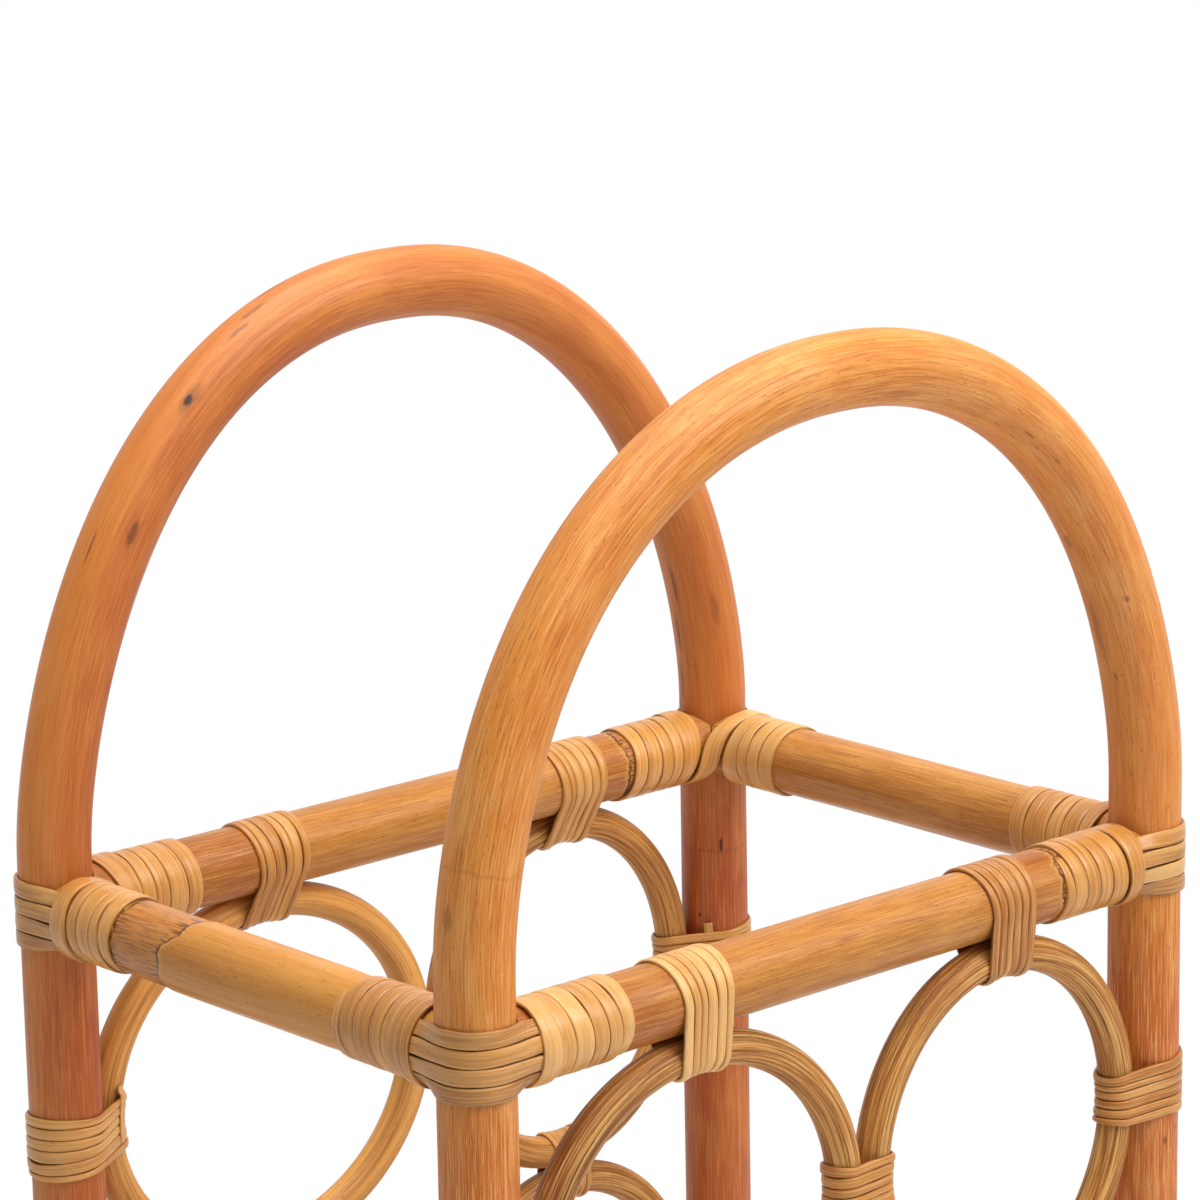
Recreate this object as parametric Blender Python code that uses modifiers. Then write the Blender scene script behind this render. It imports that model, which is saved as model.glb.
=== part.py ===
"""Wine bottle basket of bent rattan.

Two bent arches stand in parallel planes and are tied together by a frame of rails at the top and
another at the bottom. Rings of thin cane hang between the rails, two rows of two in each plane, and
a bottle lies through a front ring and the back ring behind it. Strips of rattan peel bind the joints.

+X runs along the front rails, -Y is the front, +Z is up, and the origin is on the floor under the
middle. Every length is in metres.
"""
import math

import bmesh
import bpy
import numpy as np
from mathutils import Matrix, Vector

# Canes
POLE_DIAMETER = 0.0207      # the pole that each arch is bent from
RAIL_DIAMETER = 0.0205
CANE_DIAMETER = 0.0100      # the thin cane of a bottle ring
RING_BORE = 0.0940          # clear height of a bottle ring

# Frame
WIDTH = 0.2496              # between the centre lines of an arch's legs
DEPTH = 0.178               # from the plane of one arch to that of the other
LEG_LENGTH = 0.0458         # clear height under the bottom rails
STRAIGHT_REACH = 0.014      # the legs stay straight to this height over the top rails
COLUMNS = 2
ROWS = 2
RING_SET_OUT = 0.0035       # the rings lie this far outside the plane of the legs
FRONT_JOINT_SHIFT = 0.0058  # the joint of two rings stands right of the middle, so that the left
BACK_JOINT_SHIFT = 0.0100   # rings are the wider ones

# Bends: rise of the arch over its straight legs, sideways lean of its crown, and the two exponents
# of the rounded outline (2 and 2 would be an ellipse)
FRONT_RISE = 0.1415
FRONT_LEAN = 0.0025
FRONT_ROUNDNESS_SHARES = (2.14, 2.07)
BACK_RISE = 0.1447
BACK_LEAN = 0.0
BACK_ROUNDNESS_SHARES = (2.236, 1.741)

# Bindings of flat peel
SNUG = 0.0003               # gap left between two pieces that touch
TURN_GAP = 0.00056          # gap between two turns of one strip
PEEL_THICKNESS = 0.0010
WHIP_PITCH = 0.0052         # from one turn on a rail end to the next
WHIP_TURNS = 5
WHIP_START = 0.0020         # bare rail between the post and the first turn
RAIL_RING_PITCH = 0.0036
RAIL_RING_TURNS = 5
POST_RING_PITCH = 0.0033
POST_RING_TURNS = 5
RING_RING_PITCH = 0.0034
RING_RING_TURNS = 5
STACK_TURNS = 4
STRAP_STRIP_HEIGHT = 0.0049 # one of the stacked strips round a post at a joint
STRAP_STRIPS = 4
STRAP_THICKNESS = 0.0013
STRAP_GROOVE = 0.0005       # depth of the groove between two of them
FAN_SHARE = 0.24            # how much narrower a binding is on the far side of a ring's cane

# Facets
POLE_BEVEL_RESOLUTION = 4   # 12 sides
CANE_BEVEL_RESOLUTION = 2   # 8 sides
ARCH_SEGMENTS = 34
RAIL_SIDES = 16
CUTTER_SIDES = 24
RING_SEGMENTS = 24
WHIP_STEPS = 9              # points a turn round one cane
THICK_STEPS = 5             # steps round the thick cane of a pair
THIN_STEPS = 3              # steps round the thin cane of a pair
CURVE_SAMPLES = 2000
GAP_SAMPLES = 4             # points a step when a strip's gap to itself is measured

# Worked out from the sizes above
POLE_RADIUS = POLE_DIAMETER / 2
RAIL_RADIUS = RAIL_DIAMETER / 2
CANE_RADIUS = CANE_DIAMETER / 2
RING_HALF_HEIGHT = RING_BORE / 2 + CANE_RADIUS
RING_SPACING = 2 * (RING_HALF_HEIGHT + CANE_RADIUS) + SNUG
RING_PLANE = DEPTH / 2 + RING_SET_OUT
POST_REACH = math.sqrt((POLE_RADIUS + SNUG + CANE_RADIUS) ** 2 - RING_SET_OUT ** 2)
RAIL_REACH = math.sqrt((RAIL_RADIUS + SNUG + CANE_RADIUS) ** 2 - RING_SET_OUT ** 2)
RING_REACH = CANE_DIAMETER + SNUG
BOTTOM_RAIL_Z = LEG_LENGTH + RAIL_RADIUS
TOP_RAIL_Z = BOTTOM_RAIL_Z + 2 * (RAIL_REACH + RING_HALF_HEIGHT) + (ROWS - 1) * RING_SPACING
SPRING_Z = TOP_RAIL_Z + STRAIGHT_REACH
CORNER_RADIUS = max(POLE_RADIUS, RAIL_RADIUS)
WHIP_FIRST = CORNER_RADIUS + WHIP_START + SNUG
WHIP_WIDTH = WHIP_PITCH - TURN_GAP

LEVELS = {"bottom": BOTTOM_RAIL_Z, "top": TOP_RAIL_Z}
PLANES = ("front", "back")
JOINT_SHIFTS = (FRONT_JOINT_SHIFT, BACK_JOINT_SHIFT)
# Each corner and each side is the first one turned about Z by quarter turns
CORNERS = ("front_left", "front_right", "back_right", "back_left")
SIDES = ("front", "right", "back", "left")
QUARTER = math.pi / 2

# sRGB colours of the lacquered rattan
COLOURS = {
    "front_pole": "D48A45", "back_pole": "C87838", "rail": "C98F4E", "ring_cane": "A9814A",
    "peel": "D9AE72", "strap_peel": "C99A60",
}


def linear(hex_colour):
    """Turn an sRGB colour into the linear values that Blender takes."""
    values = [int(hex_colour[i:i + 2], 16) / 255 for i in (0, 2, 4)]
    return [v / 12.92 if v <= 0.04045 else ((v + 0.055) / 1.055) ** 2.4 for v in values] + [1.0]


def make_material(name, hex_colour, roughness=0.42):
    """A lacquered rattan: the Principled BSDF in one colour."""
    material = bpy.data.materials.new(name)
    material.use_nodes = True
    shader = material.node_tree.nodes["Principled BSDF"]
    shader.inputs["Base Color"].default_value = linear(hex_colour)
    shader.inputs["Roughness"].default_value = roughness
    shader.inputs["Metallic"].default_value = 0.0
    material.diffuse_color = linear(hex_colour)
    return material


def new_object(name, data, material, quarter=0, location=(0, 0, 0), turn=None):
    """Add an object to the part: turned in its own frame, then about Z, then moved."""
    obj = bpy.data.objects.new(name, data)
    part_collection.objects.link(obj)
    if not data.materials:
        data.materials.append(material)
    obj.parent = root
    spin = Matrix.Rotation(quarter * QUARTER, 4, "Z")
    obj.matrix_local = Matrix.Translation(location) @ spin @ (turn or Matrix())
    return obj


def mesh_from(name, points, faces):
    """A smooth-shaded mesh from a point array and its faces."""
    mesh = bpy.data.meshes.new(name)
    mesh.from_pydata([tuple(p) for p in points], [], faces)
    mesh.validate()
    mesh.shade_smooth()
    mesh.set_sharp_from_angle(angle=math.radians(50))
    return mesh


def mesh_from_bmesh(name, bm):
    """A smooth-shaded mesh from a bmesh, which is freed."""
    mesh = bpy.data.meshes.new(name)
    bmesh.ops.recalc_face_normals(bm, faces=bm.faces)
    bm.to_mesh(mesh)
    bm.free()
    mesh.shade_smooth()
    mesh.set_sharp_from_angle(angle=math.radians(40))
    return mesh


def thicken(obj, thickness):
    """Give an open surface a thickness on its outer side."""
    solid = obj.modifiers.new("Thickness", "SOLIDIFY")
    solid.thickness = thickness
    solid.offset = 1
    solid.use_even_offset = True
    solid.use_quality_normals = True


def tube_curve(name, points, radius, bevel_resolution, closed=False):
    """A round cane of one thickness along its centre line."""
    curve = bpy.data.curves.new(name, "CURVE")
    curve.dimensions = "3D"
    curve.bevel_depth = radius
    curve.bevel_resolution = bevel_resolution
    curve.use_fill_caps = True
    spline = curve.splines.new("POLY")
    spline.points.add(len(points) - 1)
    spline.points.foreach_set("co", np.column_stack([points, np.ones(len(points))]).ravel())
    spline.use_cyclic_u = closed
    spline.use_smooth = True
    return curve


# Arches

def arch_points(side, rise, lean, roundness):
    """Centre line of an arch: straight legs joined by a rounded outline of two exponents."""
    angle = np.linspace(math.pi, 0, CURVE_SAMPLES)
    height = np.abs(np.sin(angle)) ** (2 / roundness[1])
    height[[0, -1]] = 0
    x = WIDTH / 2 * np.sign(np.cos(angle)) * np.abs(np.cos(angle)) ** (2 / roundness[0])
    x += lean * height ** 2
    z = SPRING_Z + rise * height
    length = np.concatenate([[0], np.cumsum(np.hypot(np.diff(x), np.diff(z)))])
    even = np.linspace(0, length[-1], ARCH_SEGMENTS + 1)
    x, z = np.interp(even, length, x), np.interp(even, length, z)
    x = np.concatenate([[x[0]], x, [x[-1]]])
    z = np.concatenate([[0], z, [0]])
    return np.stack([x, np.full_like(x, side * DEPTH / 2), z], axis=1)


def make_arch(name, side, rise, lean, roundness, material):
    """One arch: a pole of one thickness along its centre line, with flat feet on the floor."""
    points = arch_points(side, rise, lean, roundness)
    return new_object(name, tube_curve(name, points, POLE_RADIUS, POLE_BEVEL_RESOLUTION), material)


# Rails

def make_post_cutters():
    """A cylinder a little thicker than the pole at each leg, which shapes the rail ends to it."""
    cutters = {}
    height = SPRING_Z + POLE_DIAMETER
    for quarter, corner in enumerate(CORNERS):
        bm = bmesh.new()
        bmesh.ops.create_cone(bm, cap_ends=True, segments=CUTTER_SIDES, radius1=POLE_RADIUS + SNUG,
                              radius2=POLE_RADIUS + SNUG, depth=height)
        cutter = bpy.data.objects.new("cut_" + corner, mesh_from_bmesh("cut_" + corner, bm))
        cutter_collection.objects.link(cutter)
        cutter.location = corner_location(quarter, height / 2)
        cutter.hide_render = True
        cutter.display_type = "WIRE"
        cutters[corner] = cutter
    return cutters


def plane_side(plane):
    """-1 for the front plane and 1 for the back one."""
    return 2 * plane - 1


def corner_location(quarter, z):
    """Where the centre line of a leg passes a height."""
    x_side = 1 if quarter in (1, 2) else -1
    return Vector((x_side * WIDTH / 2, plane_side(quarter // 2) * DEPTH / 2, z))


def rail_mesh(name, span):
    """A rail between two leg centres, mitred on its inner side (+Y) to clear its neighbours."""
    bm = bmesh.new()
    bmesh.ops.create_cone(bm, cap_ends=True, segments=RAIL_SIDES, radius1=RAIL_RADIUS,
                          radius2=RAIL_RADIUS, depth=span)
    bmesh.ops.rotate(bm, verts=bm.verts, matrix=Matrix.Rotation(QUARTER, 3, "Y"))
    for end in (-1, 1):
        bmesh.ops.bisect_plane(bm, geom=bm.verts[:] + bm.edges[:] + bm.faces[:], clear_outer=True,
                               plane_co=(end * (span / 2 - SNUG), 0, 0), plane_no=(end, 1, 0))
        bmesh.ops.holes_fill(bm, edges=[e for e in bm.edges if e.is_boundary], sides=0)
    return mesh_from_bmesh(name, bm)


def make_rails(material, cutters):
    """Four rails at each level, shaped to the legs that they meet."""
    long_mesh = rail_mesh("rail_long", WIDTH)
    short_mesh = rail_mesh("rail_short", DEPTH)
    for level, z in LEVELS.items():
        for quarter, side in enumerate(SIDES):
            mesh, across = (short_mesh, WIDTH) if quarter % 2 else (long_mesh, DEPTH)
            offset = Matrix.Rotation(quarter * QUARTER, 3, "Z") @ Vector((0, -across / 2, 0))
            rail = new_object(f"rail_{level}_{side}", mesh, material, quarter,
                              offset + Vector((0, 0, z)))
            for corner in (CORNERS[quarter], CORNERS[(quarter + 1) % len(CORNERS)]):
                cut = rail.modifiers.new("Seat on " + corner, "BOOLEAN")
                cut.operation = "DIFFERENCE"
                cut.object = cutters[corner]


# Bottle rings

def joint_x(index, column):
    """Where a ring meets the one on its left: evenly between the legs, shifted to the right."""
    return (column / COLUMNS - 1 / 2) * (WIDTH - 2 * POST_REACH) + JOINT_SHIFTS[index]


def ring_span(index, column):
    """Middle and half width of a ring's centre line: it runs from the leg or ring on its left to
    the one on its right."""
    leg = WIDTH / 2 - POST_REACH
    left = joint_x(index, column) + RING_REACH / 2 if column else -leg
    right = joint_x(index, column + 1) - RING_REACH / 2 if column + 1 < COLUMNS else leg
    return (left + right) / 2, (right - left) / 2


def ring_z(row):
    """Centre height of a row of rings, from the top."""
    return TOP_RAIL_Z - RAIL_REACH - RING_HALF_HEIGHT - row * RING_SPACING


def make_rings(material):
    """A ring of thin cane for each bottle in each plane: an oval of one thickness."""
    angle = np.arange(RING_SEGMENTS) * 2 * math.pi / RING_SEGMENTS
    for index, plane in enumerate(PLANES):
        for column in range(COLUMNS):
            x, half_width = ring_span(index, column)
            points = np.stack([half_width * np.cos(angle), np.zeros(RING_SEGMENTS),
                               RING_HALF_HEIGHT * np.sin(angle)], axis=1)
            curve = tube_curve(f"ring_{plane}_{column + 1}", points, CANE_RADIUS, CANE_BEVEL_RESOLUTION,
                               closed=True)
            for row in range(ROWS):
                new_object(f"ring_{plane}_{row + 1}_{column + 1}", curve, material, 0,
                           (x, plane_side(index) * RING_PLANE, ring_z(row)))


# Bindings

def least_gap(centres, half_widths, turn_points):
    """Least distance between two turns of one strip, measured on points along its two edges."""
    share = np.linspace(0, 1, GAP_SAMPLES, endpoint=False)[None, :, None]
    edges = []
    for line in (centres - half_widths, centres + half_widths):
        edges.append((line[:-1, None] * (1 - share) + line[1:, None] * share).reshape(-1, 3))
    index = np.arange(len(edges[0]))
    apart = np.abs(index[:, None] - index[None, :]) > 0.6 * turn_points * GAP_SAMPLES
    distance = np.linalg.norm(edges[0][:, None] - edges[1][None, :], axis=2)
    return float(distance[apart].min())


def strip_mesh(name, centres, half_widths, turn_points):
    """One unbroken strip: an open surface along its centre line, with its outer side facing out."""
    count = len(centres)
    points = np.stack([centres - half_widths, centres + half_widths], axis=1).reshape(-1, 3)
    faces = [(2 * i, 2 * i + 2, 2 * i + 3, 2 * i + 1) for i in range(count - 1)]
    gap = least_gap(centres, half_widths, turn_points)
    print(f"{name}: least gap to itself {gap * 1000:.2f} mm")
    return mesh_from(name, points, faces)


def whip_strip():
    """Strip round the two rail ends of a joint: it winds in along the rail on +X, crosses the inner
    corner from the top of that rail to the underside of the rail on +Y, and winds out along it."""
    radius = (RAIL_RADIUS + SNUG) / math.cos(math.pi / WHIP_STEPS)
    step = 2 * math.pi / WHIP_STEPS
    turns = WHIP_TURNS * WHIP_STEPS
    angle = QUARTER + (np.arange(-turns - 2, turns + 3) + 0.0) * step
    first = WHIP_FIRST + WHIP_WIDTH / 2
    along_a = first + WHIP_PITCH * np.clip(-angle, 0, None) / (2 * math.pi)
    along_b = first + WHIP_PITCH * np.clip(angle - math.pi, 0, None) / (2 * math.pi)
    out, up = radius * np.sin(angle), radius * np.cos(angle)
    share = np.clip(angle / math.pi, 0, 1)[:, None]
    share = share * share * (3 - 2 * share)
    on_a = np.stack([along_a, out, up], axis=1)
    on_b = np.stack([out, along_b, up], axis=1)
    centres = on_a * (1 - share) + on_b * share
    across = np.array([[-1.0, 0, 0]]) * (1 - share) + np.array([[0, 1.0, 0]]) * share
    across *= WHIP_WIDTH / 2 / np.linalg.norm(across, axis=1, keepdims=True)
    return centres, across


def drop(distance, along, across):
    """How far an oval ring has curved away at a distance along its tangent, facets included. The
    half axes of its centre line lie along the tangent and across it."""
    inner = across - CANE_RADIUS
    share = distance / (along - CANE_RADIUS)
    return inner * (1 - math.sqrt(1 - share ** 2)) + inner * (1 - math.cos(math.pi / RING_SEGMENTS))


def loop_points(thick_radius, reach, aside):
    """Points of one turn round two canes, in the plane across them: the thick one at the origin,
    the thin one at a reach along the first way and set aside along the second. Gives both ways of
    each point, and the direction that it faces, counted from the line between the canes."""
    thin, thick = CANE_RADIUS + SNUG, thick_radius + SNUG
    lean = math.acos((thick - thin) / math.hypot(reach, aside))
    thin_angles = np.linspace(-lean, lean, THIN_STEPS + 1)
    thick_angles = np.linspace(lean, 2 * math.pi - lean, THICK_STEPS + 1)
    facing = np.concatenate([thin_angles, thick_angles])
    on_thin = np.arange(len(facing)) < len(thin_angles)
    radius = np.where(on_thin, thin / math.cos(lean / THIN_STEPS),
                      thick / math.cos((math.pi - lean) / THICK_STEPS))
    angle = facing + math.atan2(aside, reach)
    return on_thin * reach + radius * np.cos(angle), on_thin * aside + radius * np.sin(angle), facing


def pair_loop(thick_radius, reach, aside, ovals, distance):
    """One turn round two canes at a distance from where they touch. Ovals holds the half axes of
    the thin ring, and then those of the thick or first one where it is a ring too."""
    away = [drop(distance, *oval) for oval in ovals]
    towards, sideways, facing = loop_points(thick_radius, reach + sum(away), aside)
    return towards - sum(away[1:]), sideways, facing


def pair_strip(canes, pitch, turns):
    """Strip round two canes that touch: the thick or first one at the origin along Z, the thin one
    towards +X."""
    width = pitch - TURN_GAP
    turn_points = THICK_STEPS + THIN_STEPS + 2
    centres, half_widths = [], []
    for turn in range(turns):
        for j in range(turn_points):
            base = (turn + j / turn_points - turns / 2) * pitch
            towards, sideways, facing = pair_loop(*canes, abs(base) + width / 2)
            narrow = 1 - FAN_SHARE * (1 + math.cos(facing[j])) / 2
            centres.append((towards[j], sideways[j], base * narrow))
            half_widths.append((0, 0, width / 2 * narrow))
    return np.array(centres), np.array(half_widths), turn_points


def pair_sleeve(name, canes, pitch, turns):
    """Plain sleeve of the same size as a strip round two canes."""
    half = turns * pitch / 2
    towards, sideways, _ = pair_loop(*canes, half)
    count = len(towards)
    points = [(towards[i], sideways[i], z) for z in (-half, half) for i in range(count)]
    faces = [(i, (i + 1) % count, count + (i + 1) % count, count + i) for i in range(count)]
    return mesh_from(name, points, faces)


def make_pair(name, wound, thick_radius, reach, ovals, winding, tangent, towards, location, material):
    """Make and place a binding round two canes: its axis along the tangent, the thin cane in a
    direction, and set aside to the plane of the rings."""
    tangent, towards = Vector(tangent), Vector(towards)
    side = tangent.cross(towards)
    aside = (math.copysign(RING_PLANE, location[1]) - location[1]) * side.y
    canes = (thick_radius, reach, aside, ovals)
    mesh = strip_mesh(name, *pair_strip(canes, *winding)) if wound else pair_sleeve(name, canes, *winding)
    turn = Matrix((towards, side, tangent)).transposed().to_4x4()
    thicken(new_object(name, mesh, material, 0, location, turn), PEEL_THICKNESS)


def make_whips(material):
    """The strip or sleeve round both rail ends of each joint."""
    centres, across = whip_strip()
    wound = strip_mesh("whip", centres, across, WHIP_STEPS)
    for quarter, corner in enumerate(CORNERS):
        obj = new_object("whip_top_" + corner, wound, material, quarter,
                         corner_location(quarter, TOP_RAIL_Z))
        thicken(obj, PEEL_THICKNESS)
    plain = whip_sleeve(centres, across)
    for quarter, corner in enumerate(CORNERS):
        new_object("whip_bottom_" + corner, plain, material, quarter,
                   corner_location(quarter, BOTTOM_RAIL_Z))


def whip_sleeve(centres, across):
    """Plain form of a whip: a sleeve on each rail end, joined by the strip across the corner."""
    radius = (RAIL_RADIUS + SNUG) / math.cos(math.pi / WHIP_STEPS)
    length = WHIP_PITCH * WHIP_TURNS + WHIP_WIDTH
    pieces = []
    for axis in ("Y", "X"):
        bm = bmesh.new()
        bmesh.ops.create_cone(bm, cap_ends=False, segments=WHIP_STEPS, radius1=radius,
                              radius2=radius, depth=length)
        bmesh.ops.translate(bm, verts=bm.verts, vec=(0, 0, WHIP_FIRST + length / 2))
        turn = QUARTER if axis == "Y" else -QUARTER
        bmesh.ops.rotate(bm, verts=bm.verts, matrix=Matrix.Rotation(turn, 3, axis))
        pieces.append(mesh_from_bmesh("sleeve_on_" + axis, bm))
    middle = len(centres) // 2
    near = slice(middle - 2, middle + 3)
    points = np.stack([centres[near] - across[near], centres[near] + across[near]], axis=1)
    faces = [(2 * i, 2 * i + 2, 2 * i + 3, 2 * i + 1) for i in range(len(points) - 1)]
    pieces.append(mesh_from("crossing", points.reshape(-1, 3), faces))
    solids = []
    for piece in pieces:
        obj = bpy.data.objects.new(piece.name, piece)
        cutter_collection.objects.link(obj)
        obj.hide_render = True
        obj.display_type = "WIRE"
        thicken(obj, PEEL_THICKNESS)
        solids.append(obj)
    for solid in solids[1:]:
        join = solids[0].modifiers.new("Join " + solid.name, "BOOLEAN")
        join.operation = "UNION"
        join.object = solid
    graph = bpy.context.evaluated_depsgraph_get()
    mesh = bpy.data.meshes.new_from_object(solids[0].evaluated_get(graph))
    mesh.name = "whip_sleeve"
    mesh.materials.clear()
    for solid in solids:
        bpy.data.objects.remove(solid)
    return mesh


def make_pairs(material):
    """Bindings of each ring to its rail, its leg and its neighbours."""
    on_rail = (RAIL_RING_PITCH, RAIL_RING_TURNS)
    on_post = (POST_RING_PITCH, POST_RING_TURNS)
    between = (RING_RING_PITCH, RING_RING_TURNS)
    stacked = (RING_RING_PITCH, STACK_TURNS)
    for index, plane in enumerate(PLANES):
        y, ring_y = plane_side(index) * DEPTH / 2, plane_side(index) * RING_PLANE
        spans = [ring_span(index, column) for column in range(COLUMNS)]
        for column, (x, half_width) in enumerate(spans):
            oval = (half_width, RING_HALF_HEIGHT)
            make_pair(f"binding_rail_top_{plane}_{column + 1}", True, RAIL_RADIUS, RAIL_REACH, [oval],
                      on_rail, (1, 0, 0), (0, 0, -1), (x, y, TOP_RAIL_Z), material)
            make_pair(f"binding_rail_bottom_{plane}_{column + 1}", False, RAIL_RADIUS, RAIL_REACH,
                      [oval], on_rail, (1, 0, 0), (0, 0, 1), (x, y, BOTTOM_RAIL_Z), material)
            for row in range(ROWS - 1):
                make_pair(f"binding_stack_{plane}_{row + 1}_{column + 1}", True, CANE_RADIUS, RING_REACH,
                          [oval, oval], stacked, (1, 0, 0), (0, 0, -1),
                          (x, ring_y, ring_z(row) - RING_HALF_HEIGHT), material)
        ovals = [(RING_HALF_HEIGHT, half_width) for x, half_width in spans]
        for row in range(ROWS):
            wound, z = row == 0, ring_z(row)
            for name, sign, oval in (("left", -1, ovals[0]), ("right", 1, ovals[-1])):
                make_pair(f"binding_post_{plane}_{row + 1}_{name}", wound, POLE_RADIUS, POST_REACH,
                          [oval], on_post, (0, 0, 1), (-sign, 0, 0), (sign * WIDTH / 2, y, z), material)
            for column in range(COLUMNS - 1):
                make_pair(f"binding_side_{plane}_{row + 1}_{column + 1}", wound, CANE_RADIUS, RING_REACH,
                          [ovals[column + 1], ovals[column]], between, (0, 0, 1), (1, 0, 0),
                          (spans[column][0] + spans[column][1], ring_y, z), material)


def strap_mesh(name, strips):
    """Band round the outside of a leg, from whip to whip, with a groove between its strips. Its
    joint has one rail on +X and the other on +Y."""
    arc_steps = 4
    radius = (CORNER_RADIUS + SNUG) / math.cos(QUARTER / arc_steps / 2)
    arc = np.linspace(-QUARTER, -2 * QUARTER, arc_steps + 1)
    end = WHIP_FIRST - SNUG
    plan = [(end, -radius)] + [(radius * math.cos(a), radius * math.sin(a)) for a in arc] + [(-radius, end)]
    facing = [-QUARTER] + list(arc) + [-2 * QUARTER]
    height = STRAP_STRIPS * STRAP_STRIP_HEIGHT
    levels = 2 * strips + 1
    points = []
    for (x, y), angle in zip(plan, facing):
        for level in range(levels):
            swell = STRAP_GROOVE if level % 2 else 0
            z = (level / (levels - 1) - 1 / 2) * height
            points.append((x + swell * math.cos(angle), y + swell * math.sin(angle), z))
    faces = []
    for i in range(len(plan) - 1):
        for j in range(levels - 1):
            a = i * levels + j
            faces.append((a, a + 1, a + levels + 1, a + levels))
    return mesh_from(name, points, faces)


def make_straps(material):
    """The stacked strips round the outside of each leg at each level."""
    mesh = strap_mesh("strap", STRAP_STRIPS)
    for level, z in LEVELS.items():
        for quarter, corner in enumerate(CORNERS):
            obj = new_object(f"strap_{level}_{corner}", mesh, material, quarter,
                             corner_location(quarter, z))
            thicken(obj, STRAP_THICKNESS - STRAP_GROOVE)


for old in list(bpy.data.objects):
    bpy.data.objects.remove(old)

part_collection = bpy.data.collections.new("wine_bottle_basket")
cutter_collection = bpy.data.collections.new("cutters")
bpy.context.scene.collection.children.link(part_collection)
bpy.context.scene.collection.children.link(cutter_collection)
root = bpy.data.objects.new("wine_bottle_basket", None)
part_collection.objects.link(root)

materials = {name: make_material(name, colour) for name, colour in COLOURS.items()}
make_arch("arch_front", plane_side(0), FRONT_RISE, FRONT_LEAN, FRONT_ROUNDNESS_SHARES,
          materials["front_pole"])
make_arch("arch_back", plane_side(1), BACK_RISE, BACK_LEAN, BACK_ROUNDNESS_SHARES,
          materials["back_pole"])
make_rails(materials["rail"], make_post_cutters())
make_rings(materials["ring_cane"])
make_straps(materials["strap_peel"])
make_whips(materials["peel"])
make_pairs(materials["peel"])
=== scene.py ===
"""Wine bottle basket of bent rattan: fine surfaces, finishes, stage and camera.

Two bent poles are tied by rails, rings of thin cane hang between the rails, and strips of peel wind
round every joint. Each surface is a grid of two parameters, and it lies where its CAD node lies.
Lengths are in metres, +X runs along the front rails, -Y is the front and +Z is up.
"""
import math
from functools import partial

import bpy
import numpy as np
from bpy.props import FloatProperty, FloatVectorProperty, IntProperty, PointerProperty
from bpy.types import Operator, Panel, PropertyGroup
from mathutils import Euler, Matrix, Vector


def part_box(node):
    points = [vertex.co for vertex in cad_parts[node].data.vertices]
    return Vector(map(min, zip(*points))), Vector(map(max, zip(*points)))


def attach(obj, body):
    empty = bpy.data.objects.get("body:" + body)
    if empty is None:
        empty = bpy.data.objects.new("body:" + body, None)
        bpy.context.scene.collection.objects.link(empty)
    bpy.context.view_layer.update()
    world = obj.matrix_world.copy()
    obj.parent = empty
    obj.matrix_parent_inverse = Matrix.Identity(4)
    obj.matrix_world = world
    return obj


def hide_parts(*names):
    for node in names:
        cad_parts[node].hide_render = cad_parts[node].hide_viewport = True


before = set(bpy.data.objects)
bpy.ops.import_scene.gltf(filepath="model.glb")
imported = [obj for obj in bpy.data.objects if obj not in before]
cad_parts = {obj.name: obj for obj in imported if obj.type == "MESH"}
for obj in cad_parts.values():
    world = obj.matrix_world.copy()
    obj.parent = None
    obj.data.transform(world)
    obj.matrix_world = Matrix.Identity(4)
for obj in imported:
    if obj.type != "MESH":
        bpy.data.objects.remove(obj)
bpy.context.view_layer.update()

bl_info = {
    "name": "Rattan bottle basket",
    "version": (1, 0, 0),
    "blender": (4, 5, 0),
    "location": "View3D > Sidebar > Basket",
    "description": "Dresses a wine bottle basket of bent rattan",
    "category": "Add Mesh",
}

TAU = 2 * math.pi
MM = 0.001


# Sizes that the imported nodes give

def middle(node):
    """Centre of a node's box."""
    return np.mean(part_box(node), axis=0)


def extent(node):
    """Edge lengths of a node's box."""
    return np.ptp(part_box(node), axis=0)


POLE_RADIUS = extent("arch_front")[1] / 2
RAIL_RADIUS = extent("rail_top_front")[2] / 2
CANE_RADIUS = extent("ring_front_1_1")[1] / 2
RING_HALF_HEIGHT = extent("ring_front_1_1")[2] / 2 - CANE_RADIUS
HALF_WIDTH = -middle("rail_top_left")[0]
HALF_DEPTH = -middle("rail_top_front")[1]
SET_OUT = -middle("ring_front_1_1")[1] - HALF_DEPTH       # the rings lie outside the plane of the legs
LEVELS = {"top": middle("rail_top_front")[2], "bottom": middle("rail_bottom_front")[2]}
CORNERS = ("front_left", "front_right", "back_right", "back_left")
SIDES = ("front", "right", "back", "left")
PLANES = {"front": -1, "back": 1}
ROWS = COLUMNS = (1, 2)
BACKWARD, UP = np.array([[0.0, 1.0, 0.0]]), np.array([[0.0, 0.0, 1.0]])
TOUCH = 0.3 * MM             # gap of two canes that touch
SEAT = 0.05 * MM             # gap of a cane and the strip that lies on it

# How fine the surfaces are: rows along a piece or along one turn of a strip, and points round it
BEND_POINTS, POLE_ROWS, RING_ROWS, STRAP_ROWS, LOOSE_ROWS = 6000, 760, 420, 110, 40
RAIL_STEP = 0.5 * MM
WHIP_STEPS, PAIR_STEPS = 60, 64
POLE_POINTS, RING_POINTS = 64, 40
SHARP = math.radians(55)     # an edge that bends further is shaded as an edge

# How far the pattern of a finish moves from one piece to the next, in mm, so that no two look alike
STRIP_SHIFT, RING_SHIFT, RAIL_SHIFT = 31, 50, 100


# Settings that a user would change

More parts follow.
